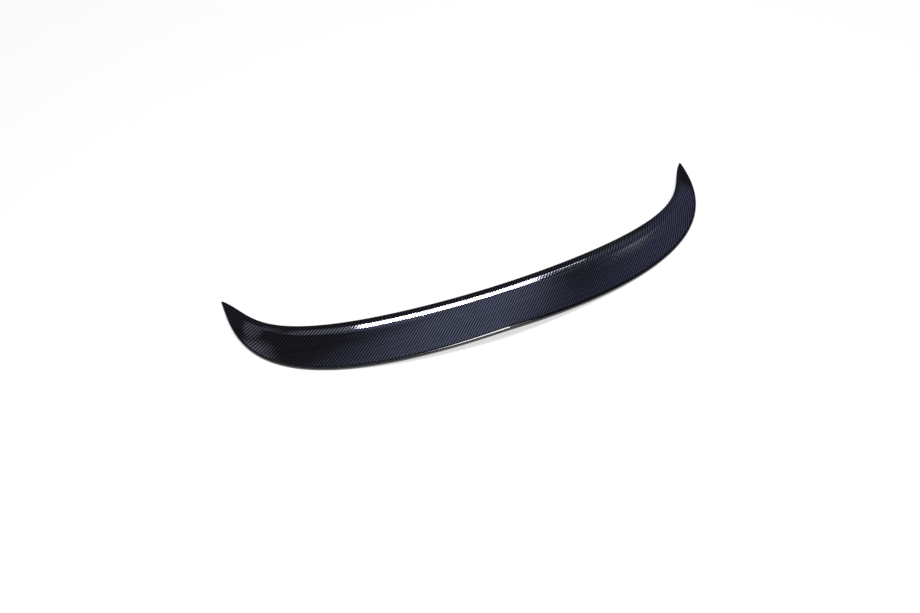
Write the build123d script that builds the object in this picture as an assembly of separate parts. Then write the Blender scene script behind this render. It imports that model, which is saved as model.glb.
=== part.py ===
from build123d import *
import os

# Stick-on car spoiler: one crescent-shaped moulded shell with a ridge along its front edge,
# a broad dished blade that falls to a thin trailing lip, and horns that sweep forward to points.
# It lies on its trailing corners and horn tips. X runs tip to tip, +Y is forward, +Z is up.

# Overall sizes, in millimetres
width = 1150.0          # horn tip to horn tip
depth = 84.0            # front edge to trailing edge at the middle, seen from above
sweep = 236.0           # how far the horn tips stand ahead of the front edge's middle
front_height = 105.0    # front edge above the floor at the middle
rear_height = 44.0      # trailing edge above the floor at the middle
tip_height = 1.0        # horn tips above the floor

# Front edge: control points of its curve, from the middle to the tip
front_reach = 198.0             # level stretch to each side of the middle
front_shoulder_inset = 25.0     # shoulder, inward from the tip
front_shoulder_lead = 35.0      # shoulder, ahead of the front edge's middle
front_shoulder_height = 88.0    # shoulder, above the floor
front_horn_inset = 77.0         # inside of the horn, inward from the tip
front_horn_lag = 78.0           # inside of the horn, behind the tip
front_horn_height = 14.0        # inside of the horn, above the floor

# Trailing edge: control points of its curve, from the middle to the tip
rear_reach = 78.0               # level stretch to each side of the middle
rear_corner_outset = 19.0       # corner, outward from the tip
rear_corner_lead = 35.0         # corner, ahead of the trailing edge's middle
rear_corner_drop = 67.0         # corner, pulled below the floor so that the edge sags to it
rear_horn_inset = 7.0           # outside of the horn, inward from the tip
rear_horn_lag = 155.0           # outside of the horn, behind the tip
rear_horn_height = 50.0         # outside of the horn, above the floor

# Section across the band at the middle: a strip, the ridge's crown, the blade, the flick and the lip
front_edge = 2.5        # thickness at the front edge
strip_width = 10.0      # strip from the front edge to the crown, which leans a quarter as far as the base
strip_round = 2.0       # length of flat that the rounding between strip and crown takes on each side
crown_width = 11.0      # flat top of the ridge, which leans half as far as the base
ridge_round = 3.5       # length of flat that the rounding between crown and blade takes on each side
blade_dish = 2.0        # how far the blade's middle control point sags below a straight line
lip_thickness = 6.0     # trailing lip, at its top
lip_lean = 5.0          # top of the lip ahead of its foot
lip_round = 1.5         # length of flick that the lip's rounding takes
flick_width = 5.0       # strip along the lip that flicks up to lean as the crown does
flick_round = 1.5       # length of flat that the rounding between blade and flick takes on each side

# Hollow underside between the two bonding lands
wall = 2.0              # skin over the hollow
flange = 1.8            # thickness of the inturned flange under the front edge
front_land = 12.0       # bonding land along the front edge, on that flange
rear_land = 15.0        # bonding land along the trailing edge, on the solid lip
hollow_overlap = 2.0    # how far the hollow's cutter passes below the base

# Stations along each half, as shares of the edges' lengths from the middle (0) to the tip (1)
station_count = 10      # sections to each side of the middle
tip_ratio = 0.993       # last section, which blunts the tip
hollow_ratio = 0.75     # last section of the hollow; the horn is solid beyond it

half_width = width / 2
tip = Vector(half_width, sweep, tip_height)

front_curve = Bezier(
    (0, 0, front_height),
    (front_reach, 0, front_height),
    (half_width - front_shoulder_inset, front_shoulder_lead, front_shoulder_height),
    (half_width - front_horn_inset, sweep - front_horn_lag, front_horn_height),
    tip,
)
rear_curve = Bezier(
    (0, -depth, rear_height),
    (rear_reach, -depth, rear_height),
    (half_width + rear_corner_outset, rear_corner_lead - depth, -rear_corner_drop),
    (half_width - rear_horn_inset, sweep - rear_horn_lag, rear_horn_height),
    tip,
)
middle_chord = (rear_curve @ 0 - front_curve @ 0).length


def toward(start, end, distance):
    """Point at a distance from start on the way to end."""
    return start + (end - start).normalized() * distance


def inset(corner, before, after, distance):
    """Point inside a corner, at a distance from both of the lines that meet there."""
    one_way = (before - corner).normalized()
    other_way = (after - corner).normalized()
    return corner + (one_way + other_way) * (distance / one_way.cross(other_way).length)


class Section:
    """One upright section of the band, from edge to edge, at a share of the way to a tip."""

    def __init__(self, share):
        side = -1 if share < 0 else 1
        u = abs(share)
        front = front_curve @ u
        rear = rear_curve @ u
        along = (rear - front).normalized()
        level = along.cross(Vector(0, 0, 1)).normalized()
        self.side = side
        self.origin = front
        self.along = along
        self.square = level.cross(along)
        self.chord = (rear - front).length
        # Along the section sizes follow its width; square to it they shrink with the width's root
        self.span = self.chord / middle_chord
        self.scale = self.span ** 0.5
        # Directions within the section: half way and a quarter of the way from level to the base
        level_way = Vector(Vector(along.X, along.Y).length, -along.Z)
        self.half_way = (level_way + Vector(1, 0)).normalized()
        self.quarter_way = (level_way + self.half_way).normalized()

    def place(self, point):
        """Point of the section in the part's frame."""
        spot = self.origin + self.along * point.X + self.square * point.Y
        return Vector(self.side * spot.X, spot.Y, spot.Z)

    def wire(self, *curves):
        """Closed outline from runs of 2 points (straight) or 3 points (rounded)."""
        edges = []
        for curve in curves:
            points = [self.place(point) for point in curve]
            edges.append(Line(*points) if len(points) == 2 else Bezier(*points))
        return Wire(edges)

    def corners(self):
        """Corners of the upper surface, before rounding: front, crown, ridge, blade, flick, lip."""
        front = Vector(0, front_edge * self.scale)
        crown = front + self.quarter_way * strip_width * self.span
        ridge = crown + self.half_way * crown_width * self.span
        lip = Vector(self.chord - lip_lean * self.span, lip_thickness * self.scale)
        flick = lip - self.half_way * flick_width * self.span
        blade = (ridge + flick) * 0.5 - Vector(0, blade_dish * self.span)
        return front, crown, ridge, blade, flick, lip

    def outer(self):
        """Outline of the solid section."""
        front, crown, ridge, blade, flick, lip = self.corners()
        heel = Vector(0, 0)
        foot = Vector(self.chord, 0)
        ramp_end = toward(crown, front, strip_round * self.span)
        crown_start = toward(crown, ridge, strip_round * self.span)
        crown_end = toward(ridge, crown, ridge_round * self.span)
        blade_start = toward(ridge, blade, ridge_round * self.span)
        blade_end = toward(flick, blade, flick_round * self.span)
        flick_start = toward(flick, lip, flick_round * self.span)
        flick_end = toward(lip, flick, lip_round * self.span)
        nose = (lip + foot) * 0.5
        return self.wire(
            (heel, front),
            (front, ramp_end),
            (ramp_end, crown, crown_start),
            (crown_start, crown_end),
            (crown_end, ridge, blade_start),
            (blade_start, blade, blade_end),
            (blade_end, flick, flick_start),
            (flick_start, flick_end),
            (flick_end, lip, nose),
            (nose, foot),
            (foot, heel),
        )

    def hollow(self):
        """Outline of the hollow under the skin, with a pocket over the flange, open below."""
        front, crown, ridge, blade, flick, _ = self.corners()
        ramp_way = (front - crown).normalized()
        crown, ridge = inset(crown, front, ridge, wall), inset(ridge, crown, blade, wall)
        blade = blade - Vector(0, wall)
        flick = flick - Vector(0, wall)
        pocket = crown + ramp_way * ((crown.Y - flange) / -ramp_way.Y)
        ramp_end = (crown + pocket) * 0.5
        crown_middle = (crown + ridge) * 0.5
        blade_start = toward(ridge, blade, (crown_middle - ridge).length)
        land_share = (flick.X - self.chord + rear_land * self.scale) / (flick.X - blade.X)
        blade_end = flick + (blade - flick) * land_share
        flange_end = Vector(front_land * self.scale, flange)
        front_foot = Vector(flange_end.X, -hollow_overlap)
        rear_foot = Vector(blade_end.X, -hollow_overlap)
        return self.wire(
            (front_foot, flange_end),
            (flange_end, pocket),
            (pocket, ramp_end),
            (ramp_end, crown, crown_middle),
            (crown_middle, ridge, blade_start),
            (blade_start, blade, blade_end),
            (blade_end, rear_foot),
            (rear_foot, front_foot),
        )


def sections(last):
    """Sections from tip to tip, out to the last station of each half."""
    steps = range(-station_count, station_count + 1)
    return [Section(last * step / station_count) for step in steps]


body = Solid.make_loft([section.outer() for section in sections(tip_ratio)])
hollow = Solid.make_loft([section.hollow() for section in sections(hollow_ratio)])

# Origin at the middle of the footprint, on the floor
box = body.bounding_box()
seat = Pos(-box.center().X, -box.center().Y, -box.min.Z)
shell = seat * body - seat * hollow

os.makedirs("parts", exist_ok=True)
export_step(shell, "parts/spoiler_shell.step")
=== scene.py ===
"""Looks of a stick-on car spoiler: one crescent of clear-coated, twill-woven carbon-fibre laminate."""
import logging
import math
from dataclasses import dataclass, field
from enum import Enum

import bmesh
import bpy
import numpy as np
from mathutils import Matrix, Vector


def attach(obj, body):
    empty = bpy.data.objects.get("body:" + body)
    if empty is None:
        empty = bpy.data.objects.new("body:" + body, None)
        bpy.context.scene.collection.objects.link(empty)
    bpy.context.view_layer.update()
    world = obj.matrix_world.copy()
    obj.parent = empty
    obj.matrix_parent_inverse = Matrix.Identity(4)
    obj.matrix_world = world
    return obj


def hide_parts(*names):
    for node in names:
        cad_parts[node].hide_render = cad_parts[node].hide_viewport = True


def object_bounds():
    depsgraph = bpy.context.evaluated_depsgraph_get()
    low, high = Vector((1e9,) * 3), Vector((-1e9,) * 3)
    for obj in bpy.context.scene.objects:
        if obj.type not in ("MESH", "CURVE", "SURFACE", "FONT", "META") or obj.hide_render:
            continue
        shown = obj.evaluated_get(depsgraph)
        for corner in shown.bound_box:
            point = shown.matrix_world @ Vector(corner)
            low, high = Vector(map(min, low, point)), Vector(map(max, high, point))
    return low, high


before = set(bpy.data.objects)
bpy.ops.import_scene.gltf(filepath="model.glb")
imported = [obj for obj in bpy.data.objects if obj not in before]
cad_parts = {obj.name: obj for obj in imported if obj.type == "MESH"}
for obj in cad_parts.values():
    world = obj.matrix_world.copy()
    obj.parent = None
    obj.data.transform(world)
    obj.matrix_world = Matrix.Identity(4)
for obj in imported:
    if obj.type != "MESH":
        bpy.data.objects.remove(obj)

CAD_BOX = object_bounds()
MM = 0.001
LOG = logging.getLogger("spoiler")


class Finish(Enum):
    """The faces of the laminate, in the order of the mesh's material slots."""

    CLEAR_COATED = 0
    RAW_BACK = 1
    RESIN_LIP = 2


@dataclass(frozen=True)
class EdgeCurve:
    """One edge of the band: a Bezier curve from the middle to the right-hand tip, in millimetres."""

    points: tuple[tuple[float, float, float], ...]
    samples: int = 4001

    def _evaluate(self, t: np.ndarray) -> np.ndarray:
        """Points at values of the curve's own parameter.

        Args:
            t: parameters from 0 to 1.

        Returns:
            One row of x, y and z for each parameter.
        """
        degree = len(self.points) - 1
        total = np.zeros((len(t), 3))
        for i, point in enumerate(self.points):
            weight = math.comb(degree, i) * (1 - t) ** (degree - i) * t ** i
            total += weight[:, None] * np.array(point)
        return total

    def at_shares(self, shares: np.ndarray) -> np.ndarray:
        """Points at shares of the curve's length.

        Args:
            shares: shares from 0, the middle, to 1, the tip.

        Returns:
            One row of x, y and z for each share.
        """
        t = np.linspace(0.0, 1.0, self.samples)
        steps = np.linalg.norm(np.diff(self._evaluate(t), axis=0), axis=1)
        length = np.concatenate(([0.0], np.cumsum(steps)))
        return self._evaluate(np.interp(shares * length[-1], length, t))


def straight(start: np.ndarray, end: np.ndarray, count: int) -> np.ndarray:
    """Points on straight runs, one run for each station.

    Args:
        start: first point of each run, one row for each station.
        end: last point of each run.
        count: points on a run, both ends included.

    Returns:
        Array of station, point and coordinate.
    """
    t = np.linspace(0.0, 1.0, count)[None, :, None]
    return start[:, None, :] * (1 - t) + end[:, None, :] * t


def rounded(start: np.ndarray, corner: np.ndarray, end: np.ndarray, count: int) -> np.ndarray:
    """Points on runs that are rounded towards a corner, one run for each station.

    Args:
        start: first point of each run, one row for each station.
        corner: corner that the run bends towards.
        end: last point of each run.
        count: points on a run, both ends included.

    Returns:
        Array of station, point and coordinate.
    """
    t = np.linspace(0.0, 1.0, count)[None, :, None]
    a, b, c = start[:, None, :], corner[:, None, :], end[:, None, :]
    return a * (1 - t) ** 2 + b * 2 * t * (1 - t) + c * t ** 2


def toward(start: np.ndarray, end: np.ndarray, distance: np.ndarray) -> np.ndarray:
    """Points at a distance from start on the way to end, row by row."""
    way = end - start
    return start + way / np.linalg.norm(way, axis=1, keepdims=True) * distance[:, None]


def inset(corner: np.ndarray, before: np.ndarray, after: np.ndarray, distance: float) -> np.ndarray:
    """Points inside corners, at a distance from both of the lines that meet there.

    Args:
        corner: corner of each station.
        before: point on the line that arrives there.
        after: point on the line that leaves there.
        distance: distance from both lines.

    Returns:
        One row for each station.
    """
    one = toward(np.zeros_like(corner), before - corner, np.ones(len(corner)))
    other = toward(np.zeros_like(corner), after - corner, np.ones(len(corner)))
    sine = np.abs(one[:, 0] * other[:, 1] - one[:, 1] * other[:, 0])
    return corner + (one + other) * (distance / sine)[:, None]


def beside(p: np.ndarray, q: np.ndarray, from_p: float, from_q: float, side: int) -> np.ndarray:
    """Third corner of a flat triangle.

    Args:
        p: first corner.
        q: second corner.
        from_p: distance of the third corner from p.
        from_q: distance of the third corner from q.
        side: 1 to the right of the way from p up the page to q, -1 to the left.

    Returns:
        The third corner.
    """
    base = float(np.linalg.norm(q - p))
    way = (q - p) / base
    run = (from_p ** 2 - from_q ** 2 + base ** 2) / (2 * base)
    rise = math.sqrt(max(from_p ** 2 - run ** 2, 0.0))
    return p + way * run + np.array((way[1], -way[0])) * (rise * side)


def unrolled(near: np.ndarray, far: np.ndarray) -> tuple[np.ndarray, np.ndarray]:
    """The strip between two lines of points, laid flat triangle by triangle from its middle, as cloth lies.

    Args:
        near: points on the line towards the front, from left to right.
        far: points on the line towards the rear.

    Returns:
        Flat points of both lines.
    """
    flat_near, flat_far = np.zeros((len(near), 2)), np.zeros((len(far), 2))
    middle = len(near) // 2
    flat_far[middle] = (0.0, np.linalg.norm(far[middle] - near[middle]))
    for side, stop in ((1, len(near)), (-1, -1)):
        for i in range(middle + side, stop, side):
            last = i - side
            flat_near[i] = beside(
                flat_near[last], flat_far[last],
                np.linalg.norm(near[i] - near[last]), np.linalg.norm(near[i] - far[last]), side,
            )
            flat_far[i] = beside(
                flat_near[i], flat_far[last],
                np.linalg.norm(far[i] - near[i]), np.linalg.norm(far[i] - far[last]), side,
            )
    return flat_near, flat_far


def travelled(line: np.ndarray) -> np.ndarray:
    """Length of a line of points from its start up to each point, along the first axis."""
    steps = np.linalg.norm(np.diff(line, axis=0), axis=-1)
    return np.concatenate((np.zeros_like(steps[:1]), np.cumsum(steps, axis=0)))


def chain(*runs: np.ndarray) -> np.ndarray:
    """Runs joined end to end, each without its first point, which the last run already has."""
    return np.concatenate([runs[0]] + [run[:, 1:] for run in runs[1:]], axis=1)


def pairs(x: np.ndarray, y: np.ndarray) -> np.ndarray:
    """Section points, one row of x and y for each station."""
    return np.stack(np.broadcast_arrays(x, y), axis=1).astype(float)


@dataclass(frozen=True)
class Stations:
    """Sections of the band: where each starts, which way it runs, and how wide it is."""

    origin: np.ndarray
    along: np.ndarray
    square: np.ndarray
    chord: np.ndarray
    span: np.ndarray

    @property
    def scale(self) -> np.ndarray:
        """How far each section's heights shrink with its width."""
        return np.sqrt(self.span)

    @property
    def level(self) -> np.ndarray:
        """Level direction within each section."""
        return pairs(np.hypot(self.along[:, 0], self.along[:, 1]), -self.along[:, 2])

    @property
    def half_way(self) -> np.ndarray:
        """Direction half way from level to the base of each section."""
        way = self.level + np.array((1.0, 0.0))
        return way / np.linalg.norm(way, axis=1, keepdims=True)

    @property
    def quarter_way(self) -> np.ndarray:
        """Direction a quarter of the way from level to the base of each section."""
        way = self.level + self.half_way
        return way / np.linalg.norm(way, axis=1, keepdims=True)

    def place(self, section: np.ndarray) -> np.ndarray:
        """Section points in space.

        Args:
            section: array of station, point and the two section coordinates.

        Returns:
            Array of station, point and x, y, z, in millimetres.
        """
        return (
            self.origin[:, None, :]
            + self.along[:, None, :] * section[:, :, 0:1]
            + self.square[:, None, :] * section[:, :, 1:2]
        )


@dataclass(frozen=True)
class MeshDetail:
    """Points on each run of a section, both ends included, and steps from section to section."""

    strip: int = 5
    strip_round: int = 9
    crown: int = 5
    ridge_round: int = 13
    blade: int = 33
    flick_round: int = 6
    flick: int = 3
    lip: int = 11
    lip_edge: int = 4
    rear_land: int = 5
    rear_wall: int = 3
    ceiling: int = 25
    ceiling_round: int = 7
    pocket_wall: int = 3
    flange_top: int = 4
    flange_edge: int = 3
    front_land: int = 4
    front_edge: int = 3
    hollow_steps: int = 480
    tip_steps: int = 60

    @property
    def flick_column(self) -> int:
        """Column of the upper surface where the blade ends and the flick begins."""
        runs = (self.strip, self.strip_round, self.crown, self.ridge_round, self.blade)
        return sum(run - 1 for run in runs)


@dataclass
class SpoilerShell:
    """The whole spoiler: a band between a front and a trailing edge, hollow below.

    Sizes are in millimetres and angles in degrees. The shape's sizes have the names of the part's source.
    """

    width: float = 1150.0
    depth: float = 84.0
    sweep: float = 236.0
    front_height: float = 105.0
    rear_height: float = 44.0
    tip_height: float = 1.0
    front_reach: float = 198.0
    front_shoulder_inset: float = 25.0
    front_shoulder_lead: float = 35.0
    front_shoulder_height: float = 88.0
    front_horn_inset: float = 77.0
    front_horn_lag: float = 78.0
    front_horn_height: float = 14.0
    rear_reach: float = 78.0
    rear_corner_outset: float = 19.0
    rear_corner_lead: float = 35.0
    rear_corner_drop: float = 67.0
    rear_horn_inset: float = 7.0
    rear_horn_lag: float = 155.0
    rear_horn_height: float = 50.0
    front_edge: float = 2.5
    strip_width: float = 10.0
    strip_round: float = 2.0
    crown_width: float = 11.0
    ridge_round: float = 3.5
    blade_dish: float = 2.0
    lip_thickness: float = 6.0
    lip_lean: float = 5.0
    lip_round: float = 1.5
    flick_width: float = 5.0
    flick_round: float = 1.5
    wall: float = 2.0
    flange: float = 1.8
    front_land: float = 12.0
    rear_land: float = 15.0
    tip_ratio: float = 0.993
    hollow_ratio: float = 0.75
    # The cloth: the column that it is laid flat from, its turn, how far it follows the band, its spread
    cloth_column: int = 24
    cloth_turn: float = -3.0
    cloth_give: float = 0.5
    cloth_spread: float = 0.35
    # Points closer than the weld are joined, and edges sharper than the angle stay crisp
    weld: float = 0.005
    crisp_angle: float = 28.0
    detail: MeshDetail = MeshDetail()
    offset: np.ndarray = field(default_factory=lambda: np.zeros(3))

    @property
    def front(self) -> EdgeCurve:
        """Front edge, from its middle to the right-hand tip."""
        half = self.width / 2
        return EdgeCurve((
            (0.0, 0.0, self.front_height),
            (self.front_reach, 0.0, self.front_height),
            (half - self.front_shoulder_inset, self.front_shoulder_lead, self.front_shoulder_height),
            (half - self.front_horn_inset, self.sweep - self.front_horn_lag, self.front_horn_height),
            (half, self.sweep, self.tip_height),
        ))

    @property
    def rear(self) -> EdgeCurve:
        """Trailing edge, from its middle to the right-hand tip."""
        half = self.width / 2
        return EdgeCurve((
            (0.0, -self.depth, self.rear_height),
            (self.rear_reach, -self.depth, self.rear_height),
            (half + self.rear_corner_outset, self.rear_corner_lead - self.depth, -self.rear_corner_drop),
            (half - self.rear_horn_inset, self.sweep - self.rear_horn_lag, self.rear_horn_height),
            (half, self.sweep, self.tip_height),
        ))

    def stations(self, shares: np.ndarray) -> Stations:
        """Sections at signed shares of the way from the middle to a tip.

        Args:
            shares: shares from -1, the left-hand tip, to 1, the right-hand tip.

        Returns:
            The sections, mirrored for the left-hand half.
        """
        mirror = np.ones((len(shares), 3))
        mirror[shares < 0, 0] = -1.0
        start = self.front.at_shares(np.abs(shares)) * mirror
        end = self.rear.at_shares(np.abs(shares)) * mirror
        chord = np.linalg.norm(end - start, axis=1)
        along = (end - start) / chord[:, None]
        level = np.cross(along, np.array((0.0, 0.0, 1.0)))
        level /= np.linalg.norm(level, axis=1, keepdims=True)
        middle = np.linalg.norm(np.subtract(self.front.points[0], self.rear.points[0]))
        return Stations(start, along, np.cross(level, along), chord, chord / middle)

    def corners(self, at: Stations) -> tuple[np.ndarray, ...]:
        """Corners of the upper surface before rounding: front, crown, ridge, blade, flick and lip.

        Args:
            at: the sections.

        Returns:
            Six arrays of section points, one row for each station.
        """
        none, span = np.zeros_like(at.span), at.span[:, None]
        front = pairs(none, self.front_edge * at.scale)
        crown = front + at.quarter_way * self.strip_width * span
        ridge = crown + at.half_way * self.crown_width * span
        lip = pairs(at.chord - self.lip_lean * at.span, self.lip_thickness * at.scale)
        flick = lip - at.half_way * self.flick_width * span
        blade = (ridge + flick) / 2 - pairs(none, self.blade_dish * at.span)
        return front, crown, ridge, blade, flick, lip

    def skin(self, at: Stations) -> np.ndarray:
        """Upper surface from the front edge, over strip, crown, blade and flick, round the lip to its nose.

        Args:
            at: the sections.

        Returns:
            Array of station, point and section coordinate.
        """
        front, crown, ridge, blade, flick, lip = self.corners(at)
        foot = pairs(at.chord, np.zeros_like(at.chord))
        strip_end = toward(crown, front, self.strip_round * at.span)
        crown_start = toward(crown, ridge, self.strip_round * at.span)
        crown_end = toward(ridge, crown, self.ridge_round * at.span)
        blade_start = toward(ridge, blade, self.ridge_round * at.span)
        blade_end = toward(flick, blade, self.flick_round * at.span)
        flick_start = toward(flick, lip, self.flick_round * at.span)
        flick_end = toward(lip, flick, self.lip_round * at.span)
        return chain(
            straight(front, strip_end, self.detail.strip),
            rounded(strip_end, crown, crown_start, self.detail.strip_round),
            straight(crown_start, crown_end, self.detail.crown),
            rounded(crown_end, ridge, blade_start, self.detail.ridge_round),
            rounded(blade_start, blade, blade_end, self.detail.blade),
            rounded(blade_end, flick, flick_start, self.detail.flick_round),
            straight(flick_start, flick_end, self.detail.flick),
            rounded(flick_end, lip, (lip + foot) / 2, self.detail.lip),
        )

    def trimmed_edges(self, at: Stations) -> tuple[np.ndarray, np.ndarray]:
        """Bare edges of the laminate: from the lip's nose to its foot, and from the heel to the front edge.

        Args:
            at: the sections.

        Returns:
            Two arrays of station, point and section coordinate.
        """
        front, *_, lip = self.corners(at)
        foot = pairs(at.chord, np.zeros_like(at.chord))
        rear_edge = straight((lip + foot) / 2, foot, self.detail.lip_edge)
        front_edge = straight(np.zeros_like(front), front, self.detail.front_edge)
        return rear_edge, front_edge

    def hollow(self, at: Stations) -> np.ndarray:
        """Underside from the lip's nose, through the hollow and over the flange, to the front edge.

        Args:
            at: the sections.

        Returns:
            Array of station, point and section coordinate.
        """
        front, crown, ridge, blade, flick, _ = self.corners(at)
        rear_edge, front_edge = self.trimmed_edges(at)
        strip_way = toward(np.zeros_like(front), front - crown, np.ones_like(at.chord))
        crown, ridge = inset(crown, front, ridge, self.wall), inset(ridge, crown, blade, self.wall)
        drop = np.array((0.0, self.wall))
        blade, flick = blade - drop, flick - drop
        pocket = crown + strip_way * ((crown[:, 1] - self.flange) / -strip_way[:, 1])[:, None]
        strip_middle = (crown + pocket) / 2
        crown_middle = (crown + ridge) / 2
        blade_start = toward(ridge, blade, np.linalg.norm(crown_middle - ridge, axis=1))
        share = (flick[:, 0] - at.chord + self.rear_land * at.scale) / (flick[:, 0] - blade[:, 0])
        blade_end = flick + (blade - flick) * share[:, None]
        flange_end = pairs(self.front_land * at.scale, np.full_like(at.chord, self.flange))
        rear_foot = blade_end * np.array((1.0, 0.0))
        front_foot = flange_end * np.array((1.0, 0.0))
        return chain(
            rear_edge,
            straight(rear_edge[:, -1], rear_foot, self.detail.rear_land),
            straight(rear_foot, blade_end, self.detail.rear_wall),
            rounded(blade_end, blade, blade_start, self.detail.ceiling),
            rounded(blade_start, ridge, crown_middle, self.detail.ceiling_round),
            rounded(crown_middle, crown, strip_middle, self.detail.ceiling_round),
            straight(strip_middle, pocket, self.detail.pocket_wall),
            straight(pocket, flange_end, self.detail.flange_top),
            straight(flange_end, front_foot, self.detail.flange_edge),
            straight(front_foot, np.zeros_like(front), self.detail.front_land),
            front_edge,
        )

    def base(self, at: Stations, count: int) -> np.ndarray:
        """Flat base of the solid horn tips, from the lip's nose to the front edge.

        Args:
            at: the sections.
            count: points in a section.

        Returns:
            Array of station, point and section coordinate.
        """
        rear_edge, front_edge = self.trimmed_edges(at)
        between = count - rear_edge.shape[1] - front_edge.shape[1] + 2
        return chain(rear_edge, straight(rear_edge[:, -1], front_edge[:, 0], between), front_edge)

    def grids(self) -> list[tuple[Finish, np.ndarray]]:
        """Upper surface and underside as grids of points in millimetres.

        Returns:
            One grid of station, point and x, y, z for each finish.
        """
        inner = np.linspace(-self.hollow_ratio, self.hollow_ratio, self.detail.hollow_steps + 1)
        horn = np.linspace(self.hollow_ratio, self.tip_ratio, self.detail.tip_steps + 1)
        every = self.stations(np.concatenate((-horn[:0:-1], inner, horn[1:])))
        left, middle, right = self.stations(-horn[::-1]), self.stations(inner), self.stations(horn)
        under = self.hollow(middle)
        count = under.shape[1]
        below = (
            left.place(self.base(left, count)),
            middle.place(under),
            right.place(self.base(right, count)),
        )
        return [
            (Finish.CLEAR_COATED, every.place(self.skin(every))),
            (Finish.RAW_BACK, np.concatenate(below)),
        ]

    def laid_cloth(self, grid: np.ndarray) -> np.ndarray:
        """Where each point of a face lies on the cloth, which half follows the band and spreads outwards.

        Args:
            grid: array of station, point and x, y, z.

        Returns:
            Array of station, point and the two cloth coordinates, in millimetres.
        """
        first, middle = self.cloth_column, len(grid) // 2
        across = travelled(grid.swapaxes(0, 1)).swapaxes(0, 1)
        across -= across[:, first : first + 1]
        along = travelled(grid[:, (first + grid.shape[1]) // 2])
        along -= along[middle]
        near, far = unrolled(grid[:, first], grid[:, -1])
        near += (pairs(along, np.zeros_like(along)) - near) * self.cloth_give
        far += (pairs(along, across[:, -1]) - far) * self.cloth_give
        way = (far - near) / np.linalg.norm(far - near, axis=1, keepdims=True)
        pull = 1 / (1 + self.cloth_spread * np.abs(along) / along[-1])
        steps = np.diff(near, axis=0) * (pull[1:] + pull[:-1])[:, None] / 2
        start = np.concatenate((np.zeros((1, 2)), np.cumsum(steps, axis=0)))
        start -= start[middle]
        flat = start[:, None, :] + way[:, None, :] * (across * pull[:, None])[:, :, None]
        c, s = math.cos(math.radians(self.cloth_turn)), math.sin(math.radians(self.cloth_turn))
        return flat @ np.array(((c, -s), (s, c)))

    def build(self) -> bpy.types.Object:
        """Makes the laminate's mesh, with cloth coordinates in metres along and across the band.

        Returns:
            The mesh object, in the part's frame.
        """
        vertices, faces, cloth, slots = [], [], [], []
        for finish, grid in self.grids():
            rows, columns = grid.shape[:2]
            first = len(vertices)
            vertices.extend(grid.reshape(-1, 3) * MM)
            cloth.extend(self.laid_cloth(grid).reshape(-1, 2) * MM)
            for row in range(rows - 1):
                for column in range(columns - 1):
                    a = first + row * columns + column
                    faces.append((a, a + columns, a + columns + 1, a + 1))
                    lip = finish is Finish.CLEAR_COATED and column >= self.detail.flick_column
                    slots.append((Finish.RESIN_LIP if lip else finish).value)
        points = np.array(vertices)
        low, high = points.min(axis=0), points.max(axis=0)
        self.offset = np.array(((low[0] + high[0]) / 2, (low[1] + high[1]) / 2, low[2]))
        # The CAD box comes from a mesh of facets, so this finer one is trimmed by a hair to stay inside it
        cad_low, cad_high = np.array(CAD_BOX[0]), np.array(CAD_BOX[1])
        trim = np.minimum((cad_high - cad_low) / (high - low), 1.0)
        base = np.array(((cad_low[0] + cad_high[0]) / 2, (cad_low[1] + cad_high[1]) / 2, cad_low[2]))
        mesh = bpy.data.meshes.new("spoiler_laminate")
        mesh.from_pydata(((points - self.offset) * trim + base).tolist(), [], faces)
        layer = mesh.uv_layers.new(name="cloth")
        corner = np.zeros(len(mesh.loops), dtype=np.int32)
        mesh.loops.foreach_get("vertex_index", corner)
        layer.data.foreach_set("uv", np.array(cloth, dtype=np.float32)[corner].ravel())
        mesh.polygons.foreach_set("material_index", slots)
        self._close(mesh)
        piece = bpy.data.objects.new("spoiler_laminate", mesh)
        bpy.context.scene.collection.objects.link(piece)
        return piece

    def _close(self, mesh: bpy.types.Mesh) -> None:
        """Joins the two grids along their edges, closes the blunt tips and smooths all but the crisp edges.

        Args:
            mesh: mesh to finish in place.
        """
        work = bmesh.new()
        work.from_mesh(mesh)
        bmesh.ops.remove_doubles(work, verts=work.verts, dist=self.weld * MM)
        rim = [edge for edge in work.edges if edge.is_boundary]
        bmesh.ops.holes_fill(work, edges=rim)
        bmesh.ops.recalc_face_normals(work, faces=work.faces)
        for face in work.faces:
            face.smooth = True
        work.to_mesh(mesh)
        work.free()
        mesh.set_sharp_from_angle(angle=math.radians(self.crisp_angle))

    def dress(self, piece: bpy.types.Object, finishes: dict[Finish, "LaminateFinish"]) -> None:
        """Gives the mesh its materials and ties it to the part.

        Args:
            piece: the laminate.
            finishes: how each face of the laminate looks.
        """
        for face in Finish:
            piece.data.materials.append(finishes[face].material())
        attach(piece, "root")
        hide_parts("spoiler_shell")


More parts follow.
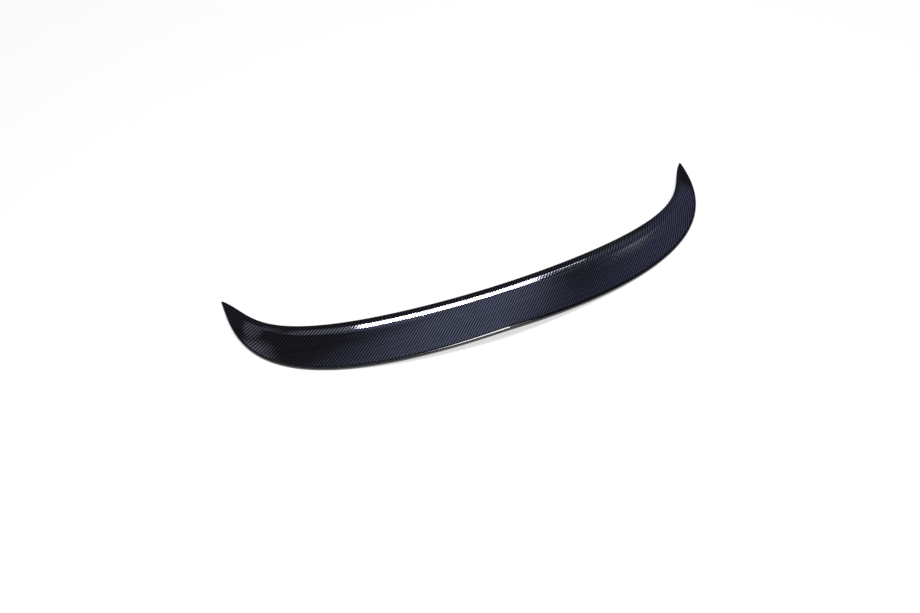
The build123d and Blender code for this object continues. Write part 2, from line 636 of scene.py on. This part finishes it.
class NodeSheet:
    """Short ways to place and join shader nodes in one node tree."""

    def __init__(self, tree: bpy.types.NodeTree) -> None:
        """Works on a node tree.

        Args:
            tree: tree of a material, world or node group.
        """
        self.tree = tree

    def add(self, kind: str, **settings: object) -> bpy.types.Node:
        """Adds a node.

        Args:
            kind: Blender's name of the node type.
            **settings: properties of the node.

        Returns:
            The new node.
        """
        node = self.tree.nodes.new(kind)
        for name, value in settings.items():
            setattr(node, name, value)
        return node

    def feed(self, socket: bpy.types.NodeSocket, value: object) -> None:
        """Joins an output to an input, or sets the input to a plain value.

        Args:
            socket: the input.
            value: an output, or a number, colour or vector.
        """
        if isinstance(value, bpy.types.NodeSocket):
            self.tree.links.new(value, socket)
        else:
            socket.default_value = value

    def math(self, operation: str, *values: object) -> bpy.types.NodeSocket:
        """Adds a math node.

        Args:
            operation: Blender's name of the operation.
            *values: outputs or numbers that it works on.

        Returns:
            Its output.
        """
        node = self.add("ShaderNodeMath", operation=operation)
        for socket, value in zip(node.inputs, values):
            self.feed(socket, value)
        return node.outputs[0]

    def blend(self, share: object, a: object, b: object) -> bpy.types.NodeSocket:
        """Mixes two colours.

        Args:
            share: how much of b, from 0 to 1.
            a: first colour.
            b: second colour.

        Returns:
            The mixed colour.
        """
        # A mix node's sockets for colours come after those for numbers and vectors
        node = self.add("ShaderNodeMix", data_type="RGBA")
        self.feed(node.inputs["Factor"], share)
        self.feed(node.inputs[6], a)
        self.feed(node.inputs[7], b)
        return node.outputs[2]


class TwillWeave:
    """Two-by-two twill cloth as a node group: which tow lies on top, how high it stands, and its tone."""

    NAME = "twill_weave"
    # Tows in a repeat, tows that a float passes over, drop of a float's ends, number of the first weft tow
    REPEAT = 4.0
    FLOAT = 2.0
    BOW = 0.5
    WEFT_LOT = 517.0

    @classmethod
    def group(cls) -> bpy.types.NodeTree:
        """The node group, made on first use.

        Returns:
            The group, with cloth coordinates and tow pitch as inputs.
        """
        made = bpy.data.node_groups.get(cls.NAME)
        return made if made else cls._make()

    @classmethod
    def _make(cls) -> bpy.types.NodeTree:
        """Builds the node group.

        Returns:
            The new group.
        """
        tree = bpy.data.node_groups.new(cls.NAME, "ShaderNodeTree")
        tree.interface.new_socket("Cloth", in_out="INPUT", socket_type="NodeSocketVector")
        tree.interface.new_socket("Tow Pitch", in_out="INPUT", socket_type="NodeSocketFloat")
        for name in ("Warp", "Height", "Tone"):
            tree.interface.new_socket(name, in_out="OUTPUT", socket_type="NodeSocketFloat")
        sheet = NodeSheet(tree)
        source, sink = sheet.add("NodeGroupInput"), sheet.add("NodeGroupOutput")
        split = sheet.add("ShaderNodeSeparateXYZ")
        sheet.feed(split.inputs[0], source.outputs["Cloth"])
        a = sheet.math("DIVIDE", split.outputs[0], source.outputs["Tow Pitch"])
        b = sheet.math("DIVIDE", split.outputs[1], source.outputs["Tow Pitch"])
        column, row = sheet.math("FLOOR", a), sheet.math("FLOOR", b)
        in_column, in_row = sheet.math("SUBTRACT", a, column), sheet.math("SUBTRACT", b, row)
        # Each pick steps one tow sideways, so the floats line up on a diagonal that repeats every four tows
        turns = sheet.math("MULTIPLY", sheet.math("ADD", column, row), 1.0 / cls.REPEAT)
        phase = sheet.math("MULTIPLY", sheet.math("FRACT", turns), cls.REPEAT)
        # The phase is a whole number, and the warp is on top for the first two of the four
        warp = sheet.math("LESS_THAN", phase, cls.FLOAT - 0.5)
        weft = sheet.math("SUBTRACT", 1.0, warp)
        across = cls._either(sheet, warp, in_row, weft, in_column)
        inside = cls._either(sheet, warp, in_column, weft, in_row)
        step = sheet.math("SUBTRACT", phase, sheet.math("MULTIPLY", weft, cls.FLOAT))
        float_share = sheet.math("MULTIPLY", sheet.math("ADD", step, inside), 1.0 / cls.FLOAT)
        crown = cls._hump(sheet, across)
        arch = cls._hump(sheet, float_share)
        height = sheet.math("MULTIPLY", crown, sheet.math("MULTIPLY_ADD", arch, cls.BOW, 1.0 - cls.BOW))
        # The weft's tows are numbered far from the warp's, so that the two draw different tones
        tow = cls._either(sheet, warp, row, weft, sheet.math("ADD", column, cls.WEFT_LOT))
        lot = sheet.add("ShaderNodeTexWhiteNoise", noise_dimensions="1D")
        sheet.feed(lot.inputs["W"], tow)
        sheet.feed(sink.inputs["Warp"], warp)
        sheet.feed(sink.inputs["Height"], height)
        sheet.feed(sink.inputs["Tone"], lot.outputs["Value"])
        return tree

    @staticmethod
    def _either(
        sheet: NodeSheet,
        warp: bpy.types.NodeSocket,
        on_warp: bpy.types.NodeSocket,
        weft: bpy.types.NodeSocket,
        on_weft: bpy.types.NodeSocket,
    ) -> bpy.types.NodeSocket:
        """One value where the warp is on top and another where the weft is.

        Args:
            sheet: node tree to add to.
            warp: output that is 1 on the warp.
            on_warp: value there.
            weft: output that is 1 on the weft.
            on_weft: value there.

        Returns:
            Output of the value.
        """
        from_warp = sheet.math("MULTIPLY", warp, on_warp)
        from_weft = sheet.math("MULTIPLY", weft, on_weft)
        return sheet.math("ADD", from_warp, from_weft)

    @staticmethod
    def _hump(sheet: NodeSheet, share: bpy.types.NodeSocket) -> bpy.types.NodeSocket:
        """Rounded rise from 0 at both ends of a share to 1 at its middle.

        Args:
            sheet: node tree to add to.
            share: output that runs from 0 to 1.

        Returns:
            Output of the rise.
        """
        rest = sheet.math("SUBTRACT", 1.0, share)
        return sheet.math("MULTIPLY", sheet.math("MULTIPLY", share, 4.0), rest)


@dataclass(frozen=True)
class LaminateFinish:
    """A face of the carbon laminate: tow colours, how the resin over them shines, and the cloth's pitch.
    The warp's tows are painted much lighter than the weft's. This painted sheen stands in for the fibres of
    one direction catching the lamps while those of the other stay dark.
    """

    name: str
    lit_warp_dark: tuple[float, float, float]
    lit_warp_light: tuple[float, float, float]
    shaded_weft_dark: tuple[float, float, float]
    shaded_weft_light: tuple[float, float, float]
    roughness: float
    metallic: float
    coat: float
    coat_roughness: float
    relief: float
    roughness_spread: float = 0.08
    gap_colour: tuple[float, float, float] = (0.004, 0.004, 0.005)
    coat_ior: float = 1.5
    tow_pitch: float = 1.8 * MM

    def material(self) -> bpy.types.Material:
        """Makes the material.

        Returns:
            The new material.
        """
        material = bpy.data.materials.new(self.name)
        material.use_nodes = True
        material.node_tree.nodes.clear()
        sheet = NodeSheet(material.node_tree)
        cloth = sheet.add("ShaderNodeUVMap", uv_map="cloth")
        weave = sheet.add("ShaderNodeGroup", node_tree=TwillWeave.group())
        sheet.feed(weave.inputs["Cloth"], cloth.outputs["UV"])
        sheet.feed(weave.inputs["Tow Pitch"], self.tow_pitch)
        tone = weave.outputs["Tone"]
        # Painted sheen: the warp gets the lit colour and the weft the shaded one, and each tow's random
        # tone picks between their dark and light ends
        warp = sheet.blend(tone, (*self.lit_warp_dark, 1.0), (*self.lit_warp_light, 1.0))
        weft = sheet.blend(tone, (*self.shaded_weft_dark, 1.0), (*self.shaded_weft_light, 1.0))
        tows = sheet.blend(weave.outputs["Warp"], weft, warp)
        painted_sheen_cloth_colour = sheet.blend(weave.outputs["Height"], (*self.gap_colour, 1.0), tows)
        roughness = sheet.math("MULTIPLY_ADD", tone, self.roughness_spread, self.roughness)
        relief = sheet.add("ShaderNodeBump")
        relief.inputs["Strength"].default_value = 1.0
        relief.inputs["Distance"].default_value = self.relief
        sheet.feed(relief.inputs["Height"], weave.outputs["Height"])
        shader = sheet.add("ShaderNodeBsdfPrincipled")
        sheet.feed(shader.inputs["Base Color"], painted_sheen_cloth_colour)
        sheet.feed(shader.inputs["Roughness"], roughness)
        sheet.feed(shader.inputs["Normal"], relief.outputs["Normal"])
        shader.inputs["Metallic"].default_value = self.metallic
        shader.inputs["Coat Weight"].default_value = self.coat
        shader.inputs["Coat Roughness"].default_value = self.coat_roughness
        shader.inputs["Coat IOR"].default_value = self.coat_ior
        end = sheet.add("ShaderNodeOutputMaterial")
        sheet.feed(end.inputs["Surface"], shader.outputs["BSDF"])
        return material


FINISHES: dict[Finish, LaminateFinish] = {
    Finish.CLEAR_COATED: LaminateFinish(
        name="clear_coated_twill",
        # Painted sheen: the bluish warp is the lit copy of the fibre, the near-black weft the shaded one
        lit_warp_dark=(0.370, 0.380, 0.490),
        lit_warp_light=(0.530, 0.545, 0.690),
        shaded_weft_dark=(0.008, 0.008, 0.010),
        shaded_weft_light=(0.016, 0.016, 0.020),
        roughness=0.07,
        metallic=1.0,
        coat=0.55,
        coat_roughness=0.035,
        relief=0.010 * MM,
        roughness_spread=0.05,
    ),
    Finish.RAW_BACK: LaminateFinish(
        name="raw_laminate_back",
        # The warp is painted a little lighter than the weft here too, a faint painted sheen
        lit_warp_dark=(0.030, 0.030, 0.032),
        lit_warp_light=(0.052, 0.052, 0.056),
        shaded_weft_dark=(0.014, 0.014, 0.015),
        shaded_weft_light=(0.026, 0.026, 0.028),
        roughness=0.50,
        metallic=0.10,
        coat=0.15,
        coat_roughness=0.35,
        relief=0.18 * MM,
    ),
    Finish.RESIN_LIP: LaminateFinish(
        name="resin_rich_lip",
        # The warp is painted a little lighter than the weft here too, a faint painted sheen
        lit_warp_dark=(0.014, 0.014, 0.017),
        lit_warp_light=(0.024, 0.024, 0.029),
        shaded_weft_dark=(0.008, 0.008, 0.010),
        shaded_weft_light=(0.016, 0.016, 0.020),
        roughness=0.12,
        metallic=1.0,
        coat=0.75,
        coat_roughness=0.035,
        relief=0.005 * MM,
    ),
}


@dataclass(frozen=True)
class Softbox:
    """One flat studio lamp, in metres and watts, aimed at a point."""

    name: str
    place: tuple[float, float, float]
    aim: tuple[float, float, float]
    width: float
    height: float
    power: float

    def build(self) -> None:
        """Hangs the lamp."""
        lamp = bpy.data.lights.new(self.name, "AREA")
        lamp.shape = "RECTANGLE"
        lamp.size, lamp.size_y = self.width, self.height
        lamp.energy = self.power
        holder = bpy.data.objects.new(self.name, lamp)
        way = Vector(self.aim) - Vector(self.place)
        turn = way.to_track_quat("-Z", "Y").to_matrix().to_4x4()
        holder.matrix_world = Matrix.Translation(self.place) @ turn
        bpy.context.scene.collection.objects.link(holder)


@dataclass(frozen=True)
class Window:
    """A soft bright patch of the room's walls, mirrored in the laminate.

    It has its full colour up to core degrees from the way to it, and fades out at edge degrees.
    """

    way: tuple[float, float, float]
    colour: tuple[float, float, float]
    edge: float
    core: float

    def glow(self, sheet: NodeSheet, direction: bpy.types.NodeSocket, room: object) -> bpy.types.NodeSocket:
        """Adds the patch to the room's colour.

        Args:
            sheet: node tree of the world.
            direction: output with the direction that is looked in.
            room: colour without the patch.

        Returns:
            Colour with the patch.
        """
        near = sheet.add("ShaderNodeVectorMath", operation="DOT_PRODUCT")
        sheet.feed(near.inputs[0], direction)
        near.inputs[1].default_value = Vector(self.way).normalized()
        share = sheet.add("ShaderNodeMapRange", interpolation_type="SMOOTHSTEP")
        sheet.feed(share.inputs["Value"], near.outputs["Value"])
        share.inputs["From Min"].default_value = math.cos(math.radians(self.edge))
        share.inputs["From Max"].default_value = math.cos(math.radians(self.core))
        return sheet.blend(share.outputs["Result"], room, (*self.colour, 1.0))


@dataclass
class Studio:
    """A dim room with soft windows, strip lamps, and a pale floor that glows white within the picture."""

    softboxes: tuple[Softbox, ...] = (
        # The long highlight on the ridge, and its faint right-hand end
        Softbox("overhead_strip", (-0.075, -0.86, 4.0), (-0.075, -0.09, 0.10), 2.94, 0.64, 164.0),
        Softbox("strip_end", (1.88, -0.75, 4.0), (1.88, -0.09, 0.10), 1.00, 0.30, 6.0),
    )
    windows: tuple[Window, ...] = (
        # Seen in the middle of the blade
        Window((0.0, -0.83, 0.55), (0.32, 0.35, 0.45), 40.0, 8.0),
        # Seen in the ridge on the left, in the left-hand horn, and in the ridge on the right
        Window((-0.54, -0.19, 0.82), (0.36, 0.36, 0.39), 30.0, 8.0),
        Window((-0.79, 0.39, 0.47), (0.26, 0.26, 0.29), 21.0, 5.0),
        Window((0.68, -0.08, 0.73), (0.21, 0.215, 0.25), 24.0, 6.0),
        # Seen in the right-hand third of the blade and in the right-hand horn
        Window((0.89, -0.40, 0.21), (0.16, 0.165, 0.25), 42.0, 8.0),
        Window((0.89, 0.33, 0.31), (0.15, 0.155, 0.235), 31.0, 8.0),
    )
    floor_size: float = 60.0
    floor_drop: float = 0.0004
    floor_colour: tuple[float, float, float] = (0.36, 0.36, 0.36)
    floor_roughness: float = 0.9
    floor_glow: float = 0.67
    # The white patch: half its length and width, how far ahead it lies, its turn, and the fade around it
    glow_half: tuple[float, float] = (1.50, 0.98)
    glow_ahead: float = 0.14
    glow_turn: float = -20.0
    glow_fade: float = 0.8
    room_colour: tuple[float, float, float] = (0.06, 0.06, 0.065)

    def build(self) -> None:
        """Sets up the floor, the room and the lamps."""
        self._floor()
        self._room()
        for softbox in self.softboxes:
            softbox.build()
            LOG.info("lamp %s", softbox.name)
        bpy.context.scene.view_settings.view_transform = "Standard"

    def _floor(self) -> None:
        """Lays the floor just under the part, with a glow that only adds to what is seen of it."""
        half = self.floor_size / 2
        mesh = bpy.data.meshes.new("studio_floor")
        corners = [(-half, -half, 0.0), (half, -half, 0.0), (half, half, 0.0), (-half, half, 0.0)]
        mesh.from_pydata(corners, [], [(0, 1, 2, 3)])
        floor = bpy.data.objects.new("studio_floor", mesh)
        floor.location = (0.0, 0.0, -self.floor_drop)
        bpy.context.scene.collection.objects.link(floor)
        material = bpy.data.materials.new("pale_floor")
        material.use_nodes = True
        material.node_tree.nodes.clear()
        sheet = NodeSheet(material.node_tree)
        place = sheet.add("ShaderNodeTexCoord")
        turned = sheet.add("ShaderNodeVectorRotate", rotation_type="Z_AXIS")
        sheet.feed(turned.inputs["Vector"], place.outputs["Object"])
        turned.inputs["Angle"].default_value = -math.radians(self.glow_turn)
        spot = sheet.add("ShaderNodeSeparateXYZ")
        sheet.feed(spot.inputs[0], turned.outputs["Vector"])
        ahead = sheet.math("SUBTRACT", spot.outputs["Y"], self.glow_ahead)
        past_side = sheet.math("SUBTRACT", sheet.math("ABSOLUTE", spot.outputs["X"]), self.glow_half[0])
        past_end = sheet.math("SUBTRACT", sheet.math("ABSOLUTE", ahead), self.glow_half[1])
        fade = sheet.add("ShaderNodeMapRange", interpolation_type="SMOOTHSTEP")
        sheet.feed(fade.inputs["Value"], sheet.math("MAXIMUM", past_side, past_end))
        fade.inputs["From Max"].default_value = self.glow_fade
        shader = sheet.add("ShaderNodeBsdfPrincipled")
        shader.inputs["Base Color"].default_value = (*self.floor_colour, 1.0)
        shader.inputs["Roughness"].default_value = self.floor_roughness
        shader.inputs["Specular IOR Level"].default_value = 0.0
        shader.inputs["Emission Color"].default_value = (1.0, 1.0, 1.0, 1.0)
        ray = sheet.add("ShaderNodeLightPath")
        seen = sheet.math("MAXIMUM", ray.outputs["Is Camera Ray"], ray.outputs["Is Glossy Ray"])
        seen = sheet.math("MAXIMUM", seen, ray.outputs["Is Transmission Ray"])
        inside = sheet.math("SUBTRACT", 1.0, fade.outputs["Result"])
        glow = sheet.math("MULTIPLY", inside, self.floor_glow)
        sheet.feed(shader.inputs["Emission Strength"], sheet.math("MULTIPLY", seen, glow))
        end = sheet.add("ShaderNodeOutputMaterial")
        sheet.feed(end.inputs["Surface"], shader.outputs["BSDF"])
        mesh.materials.append(material)

    def _room(self) -> None:
        """Makes the dim walls and their soft windows."""
        world = bpy.data.worlds.new("studio")
        bpy.context.scene.world = world
        world.use_nodes = True
        world.node_tree.nodes.clear()
        sheet = NodeSheet(world.node_tree)
        place = sheet.add("ShaderNodeTexCoord")
        shown: object = (*self.room_colour, 1.0)
        for window in self.windows:
            shown = window.glow(sheet, place.outputs["Generated"], shown)
        shader = sheet.add("ShaderNodeBackground")
        sheet.feed(shader.inputs["Color"], shown)
        end = sheet.add("ShaderNodeOutputWorld")
        sheet.feed(end.inputs["Surface"], shader.outputs["Background"])


@dataclass(frozen=True)
class Viewpoint:
    """The camera of the photograph: it stands behind, to the left and above.

    Angles are in degrees, places in metres, the lens and its shift in the photograph's pixels, and the
    sensor in millimetres. The aim is in the drawing's coordinates, before the part is seated in its frame.
    """

    azimuth: float = -20.06
    elevation: float = 59.0
    focal_pixels: float = 1200.0
    frame_pixels: float = 920.0
    sensor_width: float = 36.0
    distance: float = 2.716
    aim: tuple[float, float, float] = (0.0, 0.0393, 0.034)
    shift_pixels: tuple[float, float] = (26.9, -17.8)

    def build(self, offset: np.ndarray) -> None:
        """Places the camera.

        Args:
            offset: what the part's frame takes off the drawing's coordinates, in metres.
        """
        a, e = math.radians(self.azimuth), math.radians(self.elevation)
        back = Vector((math.sin(a) * math.cos(e), -math.cos(a) * math.cos(e), math.sin(e)))
        aim = Vector(self.aim) - Vector(offset)
        lens = bpy.data.cameras.new("viewpoint")
        lens.sensor_fit = "HORIZONTAL"
        lens.sensor_width = self.sensor_width
        lens.lens = self.focal_pixels / self.frame_pixels * self.sensor_width
        lens.shift_x = -self.shift_pixels[0] / self.frame_pixels
        lens.shift_y = self.shift_pixels[1] / self.frame_pixels
        camera = bpy.data.objects.new("viewpoint", lens)
        turn = (-back).to_track_quat("-Z", "Y").to_matrix().to_4x4()
        camera.matrix_world = Matrix.Translation(aim + back * self.distance) @ turn
        bpy.context.scene.collection.objects.link(camera)
        bpy.context.scene.camera = camera


def main() -> None:
    """Builds the spoiler, the studio and the camera."""
    logging.basicConfig(level=logging.INFO)
    shell = SpoilerShell()
    laminate = shell.build()
    shell.dress(laminate, FINISHES)
    LOG.info("%s: %d faces", laminate.name, len(laminate.data.polygons))
    Studio().build()
    Viewpoint().build(shell.offset)


if __name__ == "__main__":
    main()
